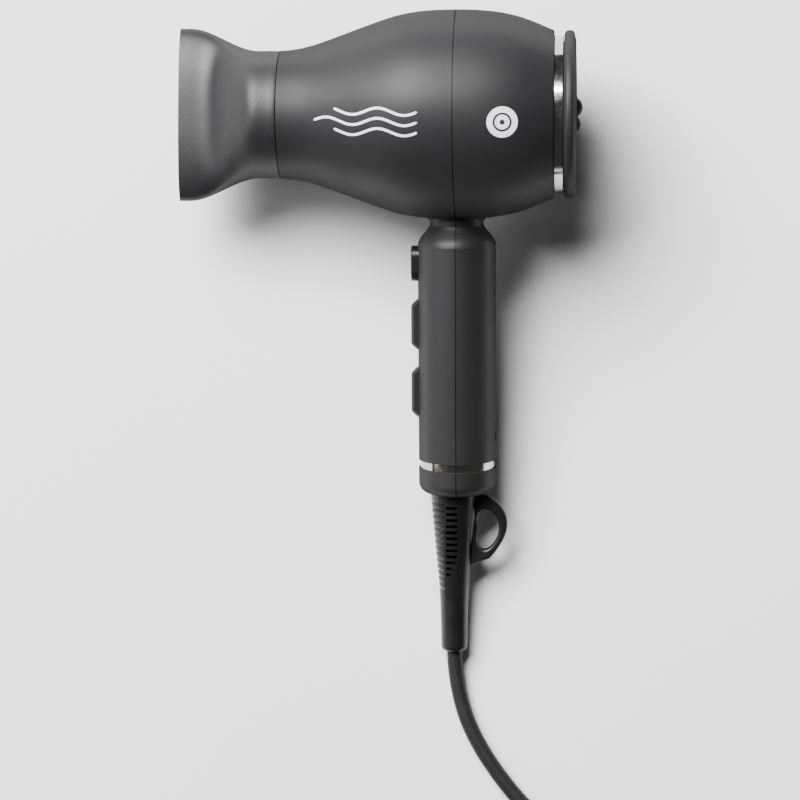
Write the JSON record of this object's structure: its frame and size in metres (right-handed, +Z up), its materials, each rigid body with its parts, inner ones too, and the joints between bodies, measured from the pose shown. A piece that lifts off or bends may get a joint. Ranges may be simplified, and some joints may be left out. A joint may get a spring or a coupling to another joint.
{
  "type": "hair dryer",
  "caption": "Dark grey hand-held hair dryer with a flat concentrator nozzle, rear filter cover, rocker switches, cool-shot button and a corded handle, lying on its side.",
  "frame": {"origin": "on the table, below the centre of the dryer's bounding box without its cord", "axes": "+Z up from the table the dryer lies on; the barrel runs along X with its nozzle towards -X; the handle and the cord run towards -Y"},
  "size_m": [0.1998, 0.4743, 0.0933],
  "materials": {
    "body_plastic": "fine-textured dark grey moulding",
    "nozzle_plastic": "soft-touch grey moulding",
    "gloss_black": "polished black moulding",
    "rocker_plastic": "satin dark grey moulding",
    "black_nylon": "heat-resistant black nylon",
    "trim_metal": "polished warm grey plating",
    "cord_rubber": "black moulded rubber",
    "steel": "bare steel",
    "mica": "pale mica sheet",
    "heater_wire": "oxidised resistance wire",
    "brass": "plain brass",
    "magnet": "sintered magnet",
    "foam": "open foam",
    "pin_metal": "nickel plating",
    "filter_wire": "fine wire gauze",
    "board_green": "circuit board",
    "strap": "black hook-and-loop strap"
  },
  "bodies": {
    "dryer": {"front_housing": "body_plastic", "rear_housing": "body_plastic", "screw_cover": "body_plastic", "outlet_collar": "black_nylon", "outlet_grille": "black_nylon", "ion_emitter": "steel", "ion_generator": "black_nylon", "heater_liner": "mica", "heater_board_flat": "mica", "heater_board_upright": "mica", "heating_coils": "heater_wire", "thermostat": "brass", "thermal_fuse": "steel", "heater_tabs": "brass", "fan_duct": "black_nylon", "duct_foam": "foam", "duct_damper": "foam", "motor_can": "steel", "motor_end_cap": "black_nylon", "motor_bearings": "brass", "motor_magnets": "magnet", "motor_leads": "cord_rubber", "intake_frame": "black_nylon", "rear_trim_ring": "trim_metal", "handle_band_front": "trim_metal", "handle_band_rear": "trim_metal", "handle_screw": "steel", "speed_switch": "black_nylon", "heat_switch": "black_nylon", "cool_shot_switch": "black_nylon", "cool_shot_spring": "steel", "switch_frame": "board_green", "terminal_block": "black_nylon", "supply_leads": "cord_rubber", "inner_cord": "cord_rubber", "cord_clamp": "black_nylon", "clamp_screws": "steel", "strain_relief": "cord_rubber", "cord_tube": "cord_rubber", "cord_coil": "cord_rubber", "cord_tie": "strap", "plug_body": "cord_rubber", "plug_boot": "cord_rubber", "plug_pins": "pin_metal"},
    "nozzle_ring": {"nozzle_ring": "black_nylon"},
    "nozzle": {"nozzle": "nozzle_plastic"},
    "fan": {"fan_impeller": "black_nylon", "motor_shaft": "steel", "motor_armature": "steel"},
    "filter_cover": {"filter_cover": "body_plastic", "cover_grip": "gloss_black", "filter_mesh": "filter_wire"},
    "cool_shot_button": {"cool_shot_button": "gloss_black"},
    "speed_rocker": {"speed_rocker": "rocker_plastic"},
    "heat_rocker": {"heat_rocker": "rocker_plastic"}
  },
  "joints": [
    {"name": "nozzle_pull_off", "type": "slide", "parent": "dryer", "child": "nozzle_ring", "axis": [-0.9981, 0.0042, -0.0612], "range_m": [0, 0.03]},
    {"name": "nozzle_turn", "type": "hinge", "parent": "nozzle_ring", "child": "nozzle", "pos_m": [-0.04795, 0.09802, 0.04165], "axis": [0.9981, -0.0042, 0.0612], "continuous": true},
    {"name": "fan_spin", "type": "hinge", "parent": "dryer", "child": "fan", "pos_m": [0.05985, 0.09756, 0.04826], "axis": [0.9981, -0.0042, 0.0612], "continuous": true},
    {"name": "filter_cover_pull_off", "type": "slide", "parent": "dryer", "child": "filter_cover", "axis": [0.9981, -0.0042, 0.0612], "range_m": [0, 0.025]},
    {"name": "cool_shot_press", "type": "slide", "parent": "dryer", "child": "cool_shot_button", "axis": [0.9981, -0.0042, 0.0612], "range_m": [0, 0.0025], "stiffness_N_per_m": 600, "springref_m": -0.0015, "deforming": ["cool_shot_spring"]},
    {"name": "speed_rock", "type": "hinge", "parent": "dryer", "child": "speed_rocker", "pos_m": [0.02349, 0.00514, 0.03028], "axis": [-0.061, -0.1674, 0.984], "range_deg": [-7, 7]},
    {"name": "heat_rock", "type": "hinge", "parent": "dryer", "child": "heat_rocker", "pos_m": [0.02368, -0.02512, 0.02514], "axis": [-0.061, -0.1674, 0.984], "range_deg": [-7, 7]}
  ]
}
